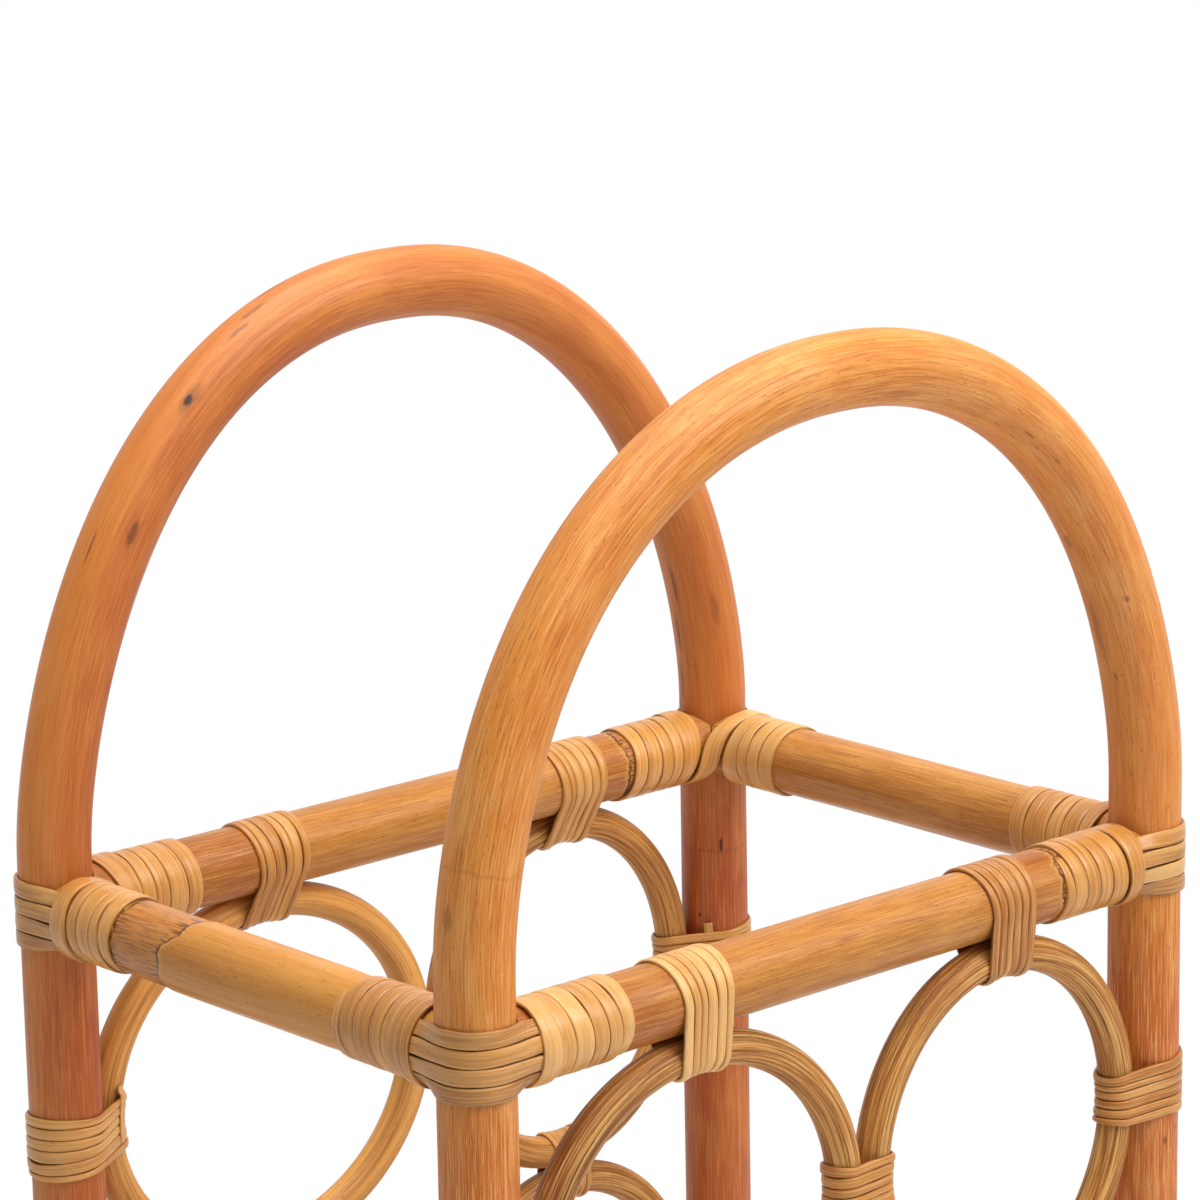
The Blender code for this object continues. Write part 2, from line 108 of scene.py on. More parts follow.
def linear(hex_colour):
    """sRGB hex value turned linear, with alpha 1."""
    values = [int(hex_colour[i:i + 2], 16) / 255 for i in (0, 2, 4)]
    return tuple(v / 12.92 if v <= 0.04045 else ((v + 0.055) / 1.055) ** 2.4 for v in values) + (1.0,)


def length(name, text, default):
    """A length in the settings."""
    return FloatProperty(name=name, description=text, default=default, unit="LENGTH", precision=5)


def exponents(name, default):
    """The two exponents of a bend in the settings."""
    return FloatVectorProperty(name=name, description="Exponents across and up; 2 and 2 is an ellipse",
                               size=2, default=default)


def number(name, text, default):
    """A number of turns or strips in the settings."""
    return IntProperty(name=name, description=text, default=default)


def colour(name, text, hex_colour):
    """A colour in the settings."""
    return FloatVectorProperty(name=name, description=text, default=linear(hex_colour)[:3], size=3,
                               subtype="COLOR", min=0, max=1)


class BasketBends(PropertyGroup):
    """Outline of the two arches."""
    reach: length("Straight reach", "Straight leg above the centre of the top rails", 0.014)
    front_rise: length("Front rise", "Height of the front bend over its straight legs", 0.1415)
    front_lean: length("Front lean", "Sideways lean of the front crown", 0.0025)
    front_roundness: exponents("Front roundness", (2.14, 2.07))
    back_rise: length("Back rise", "Height of the back bend over its straight legs", 0.1447)
    back_lean: length("Back lean", "Sideways lean of the back crown", 0.0)
    back_roundness: exponents("Back roundness", (2.236, 1.741))


class BasketPeel(PropertyGroup):
    """Strips of peel that bind the joints."""
    thickness: length("Thickness", "Thickness of a strip", 0.00092)
    gap: length("Gap", "Mean gap between two turns", 0.00014)
    whip_start: length("Whip start", "From the centre of a leg to the first turn", 0.0126)
    whip_pitch: length("Whip pitch", "From one turn on a rail end to the next", 0.0052)
    whip_turns: number("Whip turns", "Strips side by side on a rail end", 6)
    rail_pitch: length("Rail pitch", "Pitch of a binding of ring and rail", 0.0034)
    post_pitch: length("Post pitch", "Pitch of a binding of ring and leg", 0.0032)
    ring_pitch: length("Ring pitch", "Pitch of a binding of two rings", 0.0031)
    pair_turns: number("Turns", "Turns of a binding of two canes", 6)
    stack_turns: number("Stack turns", "Turns between stacked rings", 5)
    strap_height: length("Strap strip", "Height of one strip round a leg", 0.0049)
    strap_thickness: length("Strap thickness", "Thickness of a strip round a leg", 0.00102)
    strap_strips: number("Strap strips", "Strips round a leg", 4)


class BasketColours(PropertyGroup):
    """Main colours of the lacquered rattan, named as the material slots are."""
    front_pole: colour("Front pole", "Orange-tan pole", "D98733")
    back_pole: colour("Back pole", "Redder pole", "C87634")
    rail: colour("Rail", "Rail with its bark on", "BF7D36")
    ring_cane: colour("Ring", "Thin cane of the rings", "C98640")
    peel: colour("Peel", "Pale strips", "D49346")
    strap_peel: colour("Strap", "Browner strips round the legs", "D2914A")


# Surfaces

WAVELENGTHS = (0.6, 1.7)     # shortest and longest wave of a random sum, in shares of the length asked


def wander(seed, place, wavelength):
    """Smooth random wave of about -1 to 1: a sum of five sines with lengths near one wavelength."""
    rng, waves = np.random.default_rng(seed), 5
    total = np.zeros_like(place, dtype=float)
    for _ in range(waves):
        total += np.sin(TAU * place / (wavelength * rng.uniform(*WAVELENGTHS)) + rng.uniform(0, TAU))
    return total / math.sqrt(2 * waves)


def relief(seed, along, angle, wavelength, most_lobes):
    """Smooth random relief on a round cane: ten sines along it, each with whole waves round it."""
    rng, waves = np.random.default_rng(seed), 10
    total = np.zeros(np.broadcast(along, angle).shape)
    for _ in range(waves):
        lobes = int(rng.integers(0, most_lobes + 1))
        phase = TAU * along / (wavelength * rng.uniform(*WAVELENGTHS)) + lobes * angle
        total += np.sin(phase + rng.uniform(0, TAU))
    return total / math.sqrt(2 * waves)


def unit(vectors):
    """Vectors scaled to length 1."""
    return vectors / np.linalg.norm(vectors, axis=-1, keepdims=True)


def square_to(vectors, *directions):
    """Unit vectors of what is left when their part along each unit direction is taken away."""
    for direction in directions:
        vectors = vectors - (vectors * direction).sum(1, keepdims=True) * direction
    return unit(vectors)


def smooth(value):
    """Ease from 0 to 1: 3v^2 - 2v^3 with v held between 0 and 1."""
    v = np.clip(value, 0, 1)
    return v * v * (3 - 2 * v)


def blend(first, second, share):
    """The first value at a share of 0, the second at 1, and a straight mix between."""
    return first * (1 - share) + second * share


def travelled(points):
    """Length along a path at each of its points."""
    return np.concatenate([[0], np.cumsum(np.linalg.norm(np.diff(points, axis=0), axis=1))])


def angles(count):
    """Even angles of one turn, as a row."""
    return (np.arange(count) * TAU / count)[None]


def turned(quarter, vectors, mirrored=False):
    """Vectors turned by quarter turns about the vertical, with X and Y swapped first if mirrored."""
    x, y, z = np.moveaxis(vectors[..., [1, 0, 2]] if mirrored else vectors, -1, 0)
    sine, cosine = math.sin(quarter * math.pi / 2), math.cos(quarter * math.pi / 2)
    return np.stack([x * cosine - y * sine, x * sine + y * cosine, z], -1)


def skin_of(points, ring=False, **layers):
    """One closed skin: a grid that is closed round its second way. Its first way is closed too on a
    ring, and otherwise ends in two poles that take the mean of the row next to them. Gives its faces,
    which are the grid's quads and the fans to its poles, and its place and layers at each point. The
    faces look out where the second way turns right-handed about the first."""
    rows, around = points.shape[:2]
    i, j = np.meshgrid(np.arange(rows if ring else rows - 1), np.arange(around), indexing="ij")
    n, k = (i + 1) % rows, (j + 1) % around
    corners = [i * around + j, i * around + k, n * around + k, n * around + j]
    faces = [np.stack(corners, -1).reshape(-1, 4)]
    if not ring:
        this, following, last = np.arange(around), (np.arange(around) + 1) % around, (rows - 1) * around
        pole = np.full(around, rows * around)
        faces += [np.stack([pole, following, this], -1),
                  np.stack([pole + 1, last + this, last + following], -1)]
    values = {}
    for name, grid in {"place": points, **layers}.items():
        flat = grid.reshape(rows * around, -1)
        poles = [] if ring else [flat[:around].mean(0), flat[-around:].mean(0)]
        values[name] = np.vstack([flat, *poles]).astype(np.float32)
    return faces, values


def add_piece(node, kind, skins, slot):
    """Make one mesh object of closed skins, riding on the root and standing for its CAD node."""
    name = f"{node}_{kind}"
    mesh = bpy.data.meshes.new(name)
    faces, base = [], 0
    for groups, values in skins:
        for group in groups:
            faces += (group + base).tolist()
        base += len(values["place"])
    layers = {key: np.vstack([values[key] for _, values in skins]) for key in skins[0][1]}
    mesh.from_pydata(layers.pop("place"), [], faces)
    for key in sorted(layers):
        shape, field = ("FLOAT_VECTOR", "vector") if layers[key].shape[1] == 3 else ("FLOAT", "value")
        mesh.attributes.new(key, shape, "POINT").data.foreach_set(field, layers[key].ravel())
    if mesh.validate():
        raise RuntimeError(f"{name}: the mesh had faulty faces")
    mesh.shade_smooth()
    mesh.set_sharp_from_angle(angle=SHARP)
    mesh.materials.append(materials[slot])
    piece = bpy.data.objects.new(name, mesh)
    bpy.context.scene.collection.objects.link(piece)
    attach(piece, "root")
    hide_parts(node)


def round_skin(line, first, second, radius, angle, along):
    """Points of a round cane: line + radius * (first cos a + second sin a). Its grain is the length
    along it and the two offsets across it, in mm, so that fibres follow every bend."""
    near, beside = radius * np.cos(angle), radius * np.sin(angle)
    points = line[:, None] + near[..., None] * first[:, None] + beside[..., None] * second[:, None]
    return points, np.stack([along + 0 * radius, near, beside], -1) / MM


def section(roundness):
    """Section of a strip from its inner side round, in half widths and thicknesses: flat inside,
    with a slightly crowned face. Its edges are rounded over a tenth of the half width, or over a
    third with a roundness of 1."""
    square = np.array([[1.0, 1.0, 0.97, 0.90, 0.68, 0.30], [0.0, 0.50, 0.76, 0.91, 0.99, 1.03]])
    rounding = np.array([[0, 0, 0.05, 0.12, 0.12, 0.04], [0, 0.12, 0.08, 0.04, 0, 0]])
    x, y = square - roundness * rounding
    return np.concatenate([x, -x[::-1], [0.0]]), np.concatenate([y, y[::-1], [0.0]])


def strip_skin(inner, outward, across, width, thickness, tone, step, roundness=0.0, tilt=0.0):
    """Skin of a strip: its section carried along a path on the face that it lies on. The section's
    x runs along across, and its y along outward, both leaning by the tilt. The rim layer is 1 at
    the strip's edges, and the step moves the pattern of its finish."""
    x, y = section(roundness)
    tangent = unit(np.gradient(inner, axis=0))
    outward, across = outward + tilt * across, square_to(across - tilt * outward, tangent)
    outward = square_to(outward, tangent, across)
    if (np.cross(across, outward) * tangent).sum() < 0:
        across = -across
    aside, rise = width[:, None] / 2 * x, thickness[:, None] * y
    points = inner[:, None] + aside[..., None] * across[:, None] + rise[..., None] * outward[:, None]
    along = np.broadcast_to(travelled(inner)[:, None], aside.shape)
    grain = np.stack([along / MM, aside / MM + step * STRIP_SHIFT, rise / MM], -1)
    rim = np.broadcast_to(np.maximum(np.abs(x), 1.1 - 2 * y), aside.shape)
    return skin_of(points, grain=grain, rim=rim, tone=np.broadcast_to(tone[:, None], aside.shape))


def lanes(seed, place, pitch, count, gap):
    """Both edges of a strip that moves on by one lane a turn. The borders of the lanes stand a pitch
    apart, each moved a little; a turn's upper edge is the next turn's lower one less an uneven gap.
    Both stay within the winding, so its ends are square and the strip's cut ends are pared."""
    rng = np.random.default_rng(seed)
    index = np.arange(-1, count + 2)
    uneven = 0.22 * rng.uniform(-1, 1, len(index))
    border = pitch * (index + uneven)
    border[1], border[count + 1] = 0, count * pitch
    opening = gap * (0.4 + 4.0 * np.clip(0.45 + 0.55 * wander(seed + 1, place, 0.4), 0, 1) ** 3)
    low = np.interp(place, index, border)
    high = np.interp(place + 1, index, border) - opening
    return np.clip(low, 0, count * pitch), np.clip(high, 0, count * pitch)


def tones(seed, turn, change, spread):
    """Tone along a winding: a random value within the spread for each turn, which passes to the next
    in the last quarter of a turn before turn + change is whole, counted from the strip's start."""
    rng = np.random.default_rng(seed)
    values = rng.uniform(-1, 1, int(turn.max() - turn.min()) + 5) * spread
    place = turn - turn.min() + change
    index = np.floor(place).astype(int)
    return blend(values[index], values[index + 1], smooth((place - index - 0.75) / 0.25))


def cut_ends(count, steps):
    """Shares of its thickness along a strip whose two ends are pared to a third over some steps."""
    index = np.arange(count)
    return blend(0.35, 1.0, smooth(np.minimum(index, count - 1 - index) / steps))


# Finishes

# The nodes by what they give: type, settings, the inputs that the values fill in turn, and the output
NODES = {
    "scalar layer": ("Attribute", {}, (), "Fac"),
    "vector layer": ("Attribute", {}, (), "Vector"),
    "place": ("TexCoord", {}, (), "Object"),
    "camera ray": ("LightPath", {}, (), "Is Camera Ray"),
    "mirror ray": ("LightPath", {}, (), "Is Glossy Ray"),
    "glass ray": ("LightPath", {}, (), "Is Transmission Ray"),
    "noise": ("TexNoise", {}, ("Vector", "Scale", "Detail", "Roughness"), 0),
    "ramp": ("MapRange", {"interpolation_type": "SMOOTHSTEP"},
             ("Value", "From Min", "From Max", "To Min", "To Max"), 0),
    "tint": ("Mix", {"data_type": "RGBA"}, (0, 6, 7), 2),
    "sum": ("Math", {"operation": "ADD"}, (0, 1), 0),
    "product": ("Math", {"operation": "MULTIPLY"}, (0, 1), 0),
    "product plus": ("Math", {"operation": "MULTIPLY_ADD"}, (0, 1, 2), 0),
    "absolute": ("Math", {"operation": "ABSOLUTE"}, (0,), 0),
    "larger": ("Math", {"operation": "MAXIMUM"}, (0, 1), 0),
    "vector less": ("VectorMath", {"operation": "SUBTRACT"}, (0, 1), 0),
    "vector times": ("VectorMath", {"operation": "MULTIPLY"}, (0, 1), 0),
    "vector length": ("VectorMath", {"operation": "LENGTH"}, (0,), "Value"),
    "vector x": ("SeparateXYZ", {}, (0,), 0),
    "bump": ("Bump", {}, ("Height", "Distance", "Strength"), 0),
    "diffuse": ("BsdfDiffuse", {}, ("Color",), 0),
    "emission": ("Emission", {}, ("Color", "Strength"), 0),
    "background": ("Background", {}, ("Color", "Strength"), 0),
    "mixed shader": ("MixShader", {}, (0, 1, 2), 0),
}


def put(tree, name, *values, **settings):
    """Add a node with its settings. Each value is linked to its input, or set there. The finishes
    call it as add, bound to their own tree."""
    kind, usual, inputs, output = NODES[name]
    node = tree.nodes.new("ShaderNode" + kind)
    for key, value in {**usual, **settings}.items():
        setattr(node, key, value)
    for key, value in zip(inputs, values):
        if isinstance(value, bpy.types.NodeSocket):
            tree.links.new(value, node.inputs[key])
        else:
            node.inputs[key].default_value = value
    return node.outputs[output]


def grain_noise(add, grain, size, detail=2.0, roughness=0.5):
    """Noise stretched along the grain: size is a patch's length and its width across, in mm."""
    place = add("vector times", grain, (1 / size[0], 1 / size[1], 1 / size[1]))
    return add("noise", place, 1.0, detail, roughness)


def ragged_spot(add, grain, spot):
    """Share of a long ragged spot: its strength in its middle, and 0 past its edge."""
    along, across, up, half_length, half_width, strength = spot
    away = add("vector less", grain, (along, across, up))
    away = add("vector times", away, (1 / half_length, 1 / half_width, 1 / half_width))
    ragged = grain_noise(add, grain, (2.5, 0.5))
    away = add("product plus", ragged, 0.9, add("vector length", away))
    return add("ramp", away, 1.45, 0.85, 0, strength)


def node_line(add, grain, along, half_width):
    """Share of a thin uneven line round a pole, where a leaf sheath once grew. Noise moves it."""
    ripple, most = grain_noise(add, grain, (1000, 5)), 3.0
    place = add("product plus", ripple, most, add("vector x", grain))
    away = add("absolute", add("sum", place, -(along + most / 2)))
    return add("ramp", away, half_width, half_width * 0.3)


def torn_bark(add, grain, shade, paint):
    """Bare rough wood where the bark layer, made ragged, is negative: dark hairs that thicken towards
    its border, a dark lip there and a pale rim to the bark. Gives the shade and where it is bare."""
    ragged, most = grain_noise(add, grain, (2.4, 1.2), 4.0, 0.65), 3.4
    bark = add("scalar layer", attribute_name="bark")
    torn = add("sum", add("product plus", ragged, most, bark), -most / 2)
    bare = add("ramp", torn, 0.25, -0.25)
    near_lip = add("ramp", torn, -7, -0.5, 0.34, 0.85)
    hairs = add("ramp", grain_noise(add, grain, (7.0, 0.42), 1.0), 0.46, 0.60, 0, near_lip)
    shade = add("tint", add("ramp", torn, 2.2, 0.5, 0, 0.5), shade, paint["pale"])
    wood = add("tint", 0.7, shade, paint["bare"])
    wood = add("tint", add("product", hairs, bare), wood, paint["ink"])
    shade = add("tint", bare, shade, wood)
    worn = add("ramp", grain_noise(add, grain, (4, 3)), 0.35, 0.55, 0.40, 0.95)
    lip = add("ramp", add("absolute", torn), 0.75, 0.20, 0, worn)
    return add("tint", lip, shade, paint["ink"]), bare


def rattan(name, base, look):
    """Lacquered rattan. Look holds hex colours and shares of each kind of marking; the sizes of the
    markings are the real ones: fibres about 0.4 mm wide, streaks of 1.6 mm, bands of 7 mm."""
    material = bpy.data.materials.new(name)
    material.use_nodes = True
    material.diffuse_color = shade = (*base, 1.0)
    tree = material.node_tree
    add = partial(put, tree)
    paint = {key: linear(value) for key, value in look.items() if isinstance(value, str)}
    grain = add("vector layer", attribute_name="grain")
    tone = add("scalar layer", attribute_name="tone")
    contrast = add("ramp", tone, -1.0, 0.3, 0.35, 1.0)       # paler cane is smoother
    streaks, fibres = (add("product", contrast, look[key]) for key in ("streaks", "fibres"))
    fibre = grain_noise(add, grain, look["fibre"], 3.0, 0.6)
    streak = grain_noise(add, grain, look["streak"])
    band = grain_noise(add, grain, (150, 7), 1.0)
    blotch = grain_noise(add, grain, (28, 16))
    pores = add("ramp", grain_noise(add, grain, look["pore"], 1.0), 0.66, 0.76, 0, look["pores"])
    for pattern, near, far, most, towards in (
            (tone, 0.0, 1.0, 1.0, "deep"), (tone, 0.0, -1.0, 1.0, "light"),
            (band, 0.40, 0.68, look["bands"], "deep"), (blotch, 0.48, 0.72, look["blotches"], "pale"),
            (streak, 0.50, 0.66, streaks, "deep"), (streak, 0.46, 0.32, streaks, "pale"),
            (fibre, 0.51, 0.65, fibres, "dark"), (fibre, 0.49, 0.35, fibres, "pale")):
        shade = add("tint", add("ramp", pattern, near, far, 0, most), shade, paint[towards])
    shade = add("tint", pores, shade, paint["ink"])
    height = add("product", fibre, 0.6)
    if "rim" in look:
        worn = grain_noise(add, grain, (9, 3))
        worn = add("ramp", worn, 0.35, 0.65, 0.25 * look["rim"], look["rim"])
        rim = add("ramp", add("scalar layer", attribute_name="rim"), 0.90, 1.05, 0, worn)
        shade = add("tint", rim, shade, paint["ink"])
    if "bare" in look:
        shade, bare = torn_bark(add, grain, shade, paint)
        height = add("product plus", bare, -1.5, height)
    for spot in look.get("spots", ()):
        shade = add("tint", ragged_spot(add, grain, spot), shade, paint["ink"])
    for along, strength in look.get("nodes", ()):
        line = node_line(add, grain, along, 0.8)
        shade = add("tint", add("product", line, strength), shade, paint["dark"])
        height = add("product plus", line, -0.6, height)
    for pattern, most in ((streak, 0.9), (pores, -0.5)):
        height = add("product plus", pattern, most, height)
    rough = add("ramp", streak, 0.3, 0.7, look["roughness"] - 0.05, look["roughness"] + 0.07)
    bump = add("bump", height, add("product", contrast, look["bump"] * MM), 1.0)
    shader = tree.nodes["Principled BSDF"].inputs
    for key, value in (("Base Color", shade), ("Roughness", rough), ("Normal", bump)):
        tree.links.new(value, shader[key])
    shader["Specular IOR Level"].default_value = look["specular"]
    shader["Coat Weight"].default_value = look["coat"]
    shader["Coat Roughness"].default_value = 0.28
    return material


# Every look: the colours, the strength of each kind of marking, the length and the width of one fibre,
# streak and pore, and the bump, all in mm. A spot holds its middle on the grain, its half length, its
# half width and its strength; a node holds its place along the pole and its strength.
CANE_LOOK = {"streak": (60, 1.6), "pore": (2.6, 0.34), "specular": 0.34, "coat": 0.04}
# Peeled pole, steam bent, sanded and lacquered: a straight fibre with pale and dark hairs, short dark
# pores and a few knots and bruises, and a satin sheen. The real hairs are about 0.3 mm wide and are
# drawn at 0.36 mm, so that they show.
POLE_LOOK = {**CANE_LOOK, "deep": "BB591B", "pale": "EBAF66", "light": "E5934A", "dark": "A2571F",
             "ink": "652C10", "bands": 0.24, "blotches": 0.30, "streaks": 0.24, "fibres": 0.60,
             "pores": 0.60, "fibre": (12, 0.36), "roughness": 0.48, "bump": 0.10,
             "spots": [(341.0, -0.8, 10.3, 4.5, 2.0, 0.40), (838.5, -10.2, -1.5, 1.8, 1.0, 0.65),
                       (835.6, -9.7, 3.3, 1.2, 0.8, 0.60), (673.5, -8.6, -5.5, 1.5, 0.9, 0.60),
                       (698.1, -1.8, -10.1, 1.4, 0.7, 0.50), (684.0, 1.2, -10.2, 14.0, 2.2, 0.30),
                       (650.5, 0.6, -10.3, 4.0, 1.6, 0.35), (604.0, -8.8, -5.4, 3.5, 0.6, 0.50),
                       (618.3, -8.9, -5.3, 3.0, 0.5, 0.50), (548.0, -8.2, -6.2, 9.0, 1.8, 0.25)],
             "nodes": [(352.5, 0.18)]}
BACK_POLE_LOOK = {**POLE_LOOK, "deep": "AC4C1F", "pale": "E3954A", "light": "DE8534", "dark": "863D18",
                  "ink": "35190E", "bands": 0.35, "fibres": 0.35, "streaks": 0.23, "pores": 0.25,
                  "bump": 0.07,
                  "spots": [(450.2, -7.1, 7.5, 2.4, 1.5, 1.0), (451.0, -7.1, 7.5, 7.0, 2.4, 0.35),
                            (411.2, -9.8, 3.3, 5.0, 1.7, 0.60), (403.7, -2.8, 9.9, 7.0, 0.5, 0.60),
                            (474.0, -4.6, 9.2, 6.0, 0.9, 0.50), (482.0, -2.6, 10.0, 6.0, 1.1, 0.45),
                            (491.0, 1.5, 10.2, 8.0, 0.8, 0.50), (787.4, -8.8, -5.3, 3.5, 0.7, 0.90),
                            (700.0, -0.9, -10.2, 10.0, 1.0, 0.50), (718.0, 1.6, -10.1, 9.0, 1.1, 0.50),
                            (735.0, 2.6, -10.0, 9.0, 1.1, 0.50), (710.4, -9.6, -3.6, 8.0, 1.8, 0.30),
                            (810.1, -3.5, -9.6, 1.0, 1.0, 0.80)],
                  "nodes": [(789.2, 0.22)]}
# Rail with its bark left on, lacquered: smoother and paler than peeled pole, with fine specks. Where
# the bark is torn away the rough brown wood shows.
RAIL_LOOK = {**CANE_LOOK, "deep": "A65E23", "pale": "DDA252", "light": "D9953F", "dark": "8A5022",
             "ink": "54290F", "bare": "BC753A", "bands": 0.35, "blotches": 0.30, "streaks": 0.30,
             "fibres": 0.42, "pores": 0.55, "fibre": (12, 0.40), "pore": (2.2, 0.38),
             "roughness": 0.36, "bump": 0.08, "specular": 0.26, "coat": 0.08}
# Thin ring cane, bent wet: strong ridged fibres in olive brown with pale lines.
RING_LOOK = {**CANE_LOOK, "deep": "8B4F21", "pale": "E0B068", "light": "F0AA58", "dark": "6C421C",
             "ink": "35200E", "bands": 0.50, "blotches": 0.30, "streaks": 0.75, "fibres": 0.80,
             "pores": 0.40, "fibre": (25, 0.50), "streak": (70, 1.3), "roughness": 0.45, "bump": 0.45,
             "specular": 0.22}
# Split peel, the glossy skin of the cane: pale, nearly smooth, with thin long lines and dark rims.
PEEL_LOOK = {**CANE_LOOK, "deep": "AE6A25", "pale": "EDB66C", "light": "EFBE78", "dark": "9A6226",
             "ink": "4E2A0E", "bands": 0.45, "blotches": 0.45, "streaks": 0.42, "fibres": 0.42,
             "pores": 0.40, "rim": 0.90, "fibre": (22, 0.42), "streak": (60, 1.0), "roughness": 0.33,
             "bump": 0.08, "coat": 0.16}
STRAP_LOOK = {**PEEL_LOOK, "deep": "A4682F", "pale": "E2B06A", "light": "E8BA74", "dark": "8C5A24"}

# Name and look of the finish of each material slot
FINISHES = {
    "front_pole": ("Rattan_pole_peeled_lacquered", POLE_LOOK),
    "back_pole": ("Rattan_pole_red_lacquered", BACK_POLE_LOOK),
    "rail": ("Rattan_rail_bark_lacquered", RAIL_LOOK),
    "ring_cane": ("Rattan_ring_cane_lacquered", RING_LOOK),
    "peel": ("Rattan_peel_split_lacquered", PEEL_LOOK),
    "strap_peel": ("Rattan_peel_brown_lacquered", STRAP_LOOK),
}
materials = {}


# Arches

def arch_line(plane, bends):
    """Centre line of an arch: straight legs, then |sin| and |cos| of an angle raised to 2 over the
    two exponents, scaled by the rise and the half width, leaning by the square of the height."""
    rise, lean, roundness = (getattr(bends, f"{plane}_{key}") for key in ("rise", "lean", "roundness"))
    angle = np.linspace(math.pi, 0, BEND_POINTS)
    height = np.abs(np.sin(angle)) ** (2 / roundness[1])
    height[[0, -1]] = 0
    aside = np.sign(np.cos(angle)) * np.abs(np.cos(angle)) ** (2 / roundness[0])
    x = HALF_WIDTH * aside + lean * height ** 2
    z = LEVELS["top"] + bends.reach + rise * height
    x, z = np.concatenate([[x[0]], x, [x[-1]]]), np.concatenate([[0], z, [0]])
    line = np.stack([x, np.full_like(x, PLANES[plane] * HALF_DEPTH), z], -1)
    place = travelled(line)
    even = np.linspace(0, place[-1], POLE_ROWS)
    return np.stack([np.interp(even, place, line[:, k]) for k in range(3)], -1)


def arch_tone_with_painted_light(plane, line, angle):
    """Tone of a pole: a deeper, redder tone below the rails, most on the right legs, which is painted
    shade, and a lighter tone on its right half above them, which is painted light; a small random wave
    runs along it. The back pole is golden on the outer side of its left half and redder inside it."""
    x, z = line[:, :1], line[:, 2:]
    # painted shade: the tone deepens below the rails, more on the right legs; painted light: it pales
    # on the right half above them
    low = smooth((LEVELS["top"] + 20 * MM - z) / (60 * MM))
    tone = blend(-0.45 * smooth(x / HALF_WIDTH + 0.1), 0.45 + 0.2 * (x > 0), low)
    if plane == "back":
        tone = tone - 0.60 * (1 - 0.45 * low) * smooth(0.2 - 2 * x / HALF_WIDTH) * np.cos(angle - 1.2)
    return tone + 0.15 * wander(19, travelled(line), 0.12)[:, None] + 0 * angle


def build_arch(plane, bends):
    """One bent pole: a round skin whose radius swells by under 1 %, and whose free bend wanders a
    little out of its plane. Its feet are cut level with the floor."""
    line, seed = arch_line(plane, bends), 9 + 2 * PLANES[plane]
    free = smooth((line[:, 2] - LEVELS["top"] - bends.reach) / (30 * MM))
    place = travelled(line)
    line[:, 1] += 0.6 * MM * wander(seed, place, 0.21) * free
    tangent = unit(np.gradient(line, axis=0))
    first = square_to(BACKWARD, tangent)
    angle, swell = angles(POLE_POINTS), 0.006
    radius = POLE_RADIUS * (1 + swell * relief(seed + 1, place[:, None], angle, 0.12, 3) - swell)
    points, grain = round_skin(line, first, np.cross(tangent, first), radius, angle,
                               travelled(line)[:, None])
    points[0, :, 2] = points[-1, :, 2] = 0
    skin = skin_of(points, grain=grain, tone=arch_tone_with_painted_light(plane, line, angle))
    add_piece(f"arch_{plane}", "pole", [skin], f"{plane}_pole")


# Rails

def mouth(radius_share, angle):
    """How far a rail's end stops from the leg's centre, so that it is shaped to the leg and mitred
    on its inner side: the leg's circle, or the diagonal where that is further."""
    side = radius_share * RAIL_RADIUS * np.cos(angle)
    leg = POLE_RADIUS + TOUCH
    return np.maximum(np.sqrt(np.maximum(leg ** 2 - side ** 2, 0)), side + TOUCH)


def bark_edge(level, side, x, angle):
    """How far a point of a rail lies inside its bark: negative where the bark is torn away, between
    a ragged lip at a node and the rest of the bark at a binding. It is wide of both elsewhere."""
    wave = MM * wander(7, angle / TAU + 0 * x, 0.21)
    node, binding = 80.6 * MM, 50 * MM
    if (level, side) == ("top", "left"):
        lip = (29.5 - 7 * smooth(1.4 * np.sin(angle) - 0.4)) * MM
        return np.maximum(x + lip + 1.2 * wave, -binding - x + 0.8 * wave)
    if (level, side) == ("top", "front"):
        return node - x + 1.3 * wave
    if (level, side) == ("top", "back"):
        return node + x + 0.7 * wave
    return binding + 0 * wave


def rail_tone(side, x):
    """Tone along a rail: the long rails are redder between the rings' bindings and the corners, and
    the left one is paler than the others."""
    if side in ("left", "right"):
        return 0.20 * wander(17 + SIDES.index(side), x, 0.09) - 0.60 * (side == "left")
    return 0.9 * smooth((np.abs(x) - 48 * MM) / (12 * MM)) - 0.1 + 0.25 * (side == "front")


CAPS = (0.3, 0.6, 0.85)      # shares of the radius in the rows that close a rail's mouth


def build_rail(level, side):
    """One rail: a round skin whose rows run from mouth to mouth, and which closes over each mouth in
    rows of a smaller radius. The inner side is local +Y, and the angle turns from it up. The left
    rail is 0.3 mm thicker where it keeps its bark."""
    quarter, lower = SIDES.index(side), level == "bottom"
    half, across = (HALF_DEPTH, HALF_WIDTH) if quarter % 2 else (HALF_WIDTH, HALF_DEPTH)
    angle = angles(POLE_POINTS)
    rows = int(2 * half / RAIL_STEP)
    share = np.concatenate([CAPS, np.ones(rows), CAPS[::-1]])[:, None]
    place = np.pad(np.linspace(-1, 1, rows), len(CAPS), mode="edge")[:, None]
    x = place * (half - mouth(share, angle))
    bark = bark_edge(level, side, x, angle)
    free = smooth((half - 44 * MM - np.abs(x)) / (10 * MM))
    skinned = 0.030 * smooth(bark / (1.5 * MM)) if (level, side) == ("top", "left") else 0
    swell = 0.006 * relief(40 + quarter + 10 * lower, x, angle, 0.10, 3)
    radius = share * RAIL_RADIUS * (1 + free * (skinned + swell))
    y, z = radius * np.cos(angle), radius * np.sin(angle)
    grain = np.stack([x, y, z], -1) / MM + np.array([0, quarter, lower]) * RAIL_SHIFT
    points = turned(quarter, np.stack([x, y - across, z + LEVELS[level]], -1))
    skin = skin_of(points, grain=grain, bark=bark / MM, tone=rail_tone(side, x))
    add_piece(f"rail_{level}_{side}", "cane", [skin], "rail")


# Rings

